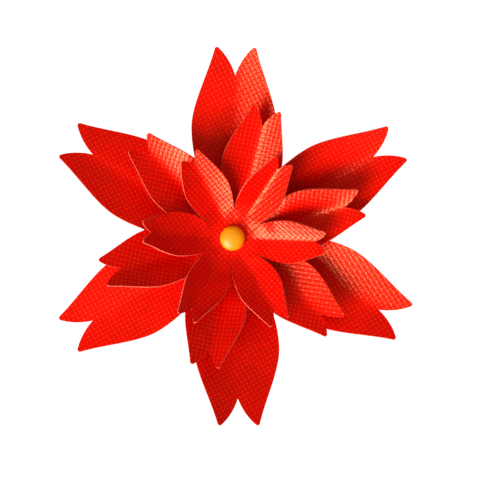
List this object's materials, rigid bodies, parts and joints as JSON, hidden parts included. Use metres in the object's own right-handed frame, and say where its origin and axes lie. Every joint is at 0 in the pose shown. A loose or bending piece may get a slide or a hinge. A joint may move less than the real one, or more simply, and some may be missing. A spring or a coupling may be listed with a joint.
{
  "type": "flower hair clip",
  "caption": "Poinsettia hair clip: three stacked six-lobed notched sheets folded up round a domed rivet, felt-backed on a sprung flat-top clip whose lower jaw opens.",
  "frame": {"origin": "on the rivet's axis, at the level of the clip's flat head-side face", "axes": "+Z out of the flower away from the head, +X along the clip towards its jaw tips, +Y across the clip, up as worn"},
  "size_m": [0.1136, 0.1204, 0.0322],
  "materials": {
    "outer_sheet": "embossed matte",
    "middle_sheet": "embossed matte",
    "inner_sheet": "embossed matte",
    "cap": "gloss enamel",
    "rivet_steel": "satin",
    "felt": "felt",
    "clip_steel": "nickel plate",
    "spring_steel": "drawn wire"
  },
  "bodies": {
    "flower": {"outer_petals": "outer_sheet", "middle_petals": "middle_sheet", "inner_petals": "inner_sheet", "rivet_cap": "cap", "rivet_socket": "rivet_steel", "rivet_post": "rivet_steel", "backing_disc": "felt", "upper_jaw": "clip_steel", "hinge_pin": "clip_steel", "torsion_spring": "spring_steel"},
    "jaw": {"lower_jaw": "clip_steel"}
  },
  "joints": [
    {"name": "jaw_hinge", "type": "hinge", "parent": "flower", "child": "jaw", "pos_m": [-0.0095, 0, 0.003], "axis": [0, 1, 0], "range_deg": [0, 30], "stiffness_Nm_per_rad": 0.04, "springref_deg": -68.75, "deforming": ["torsion_spring"]}
  ]
}
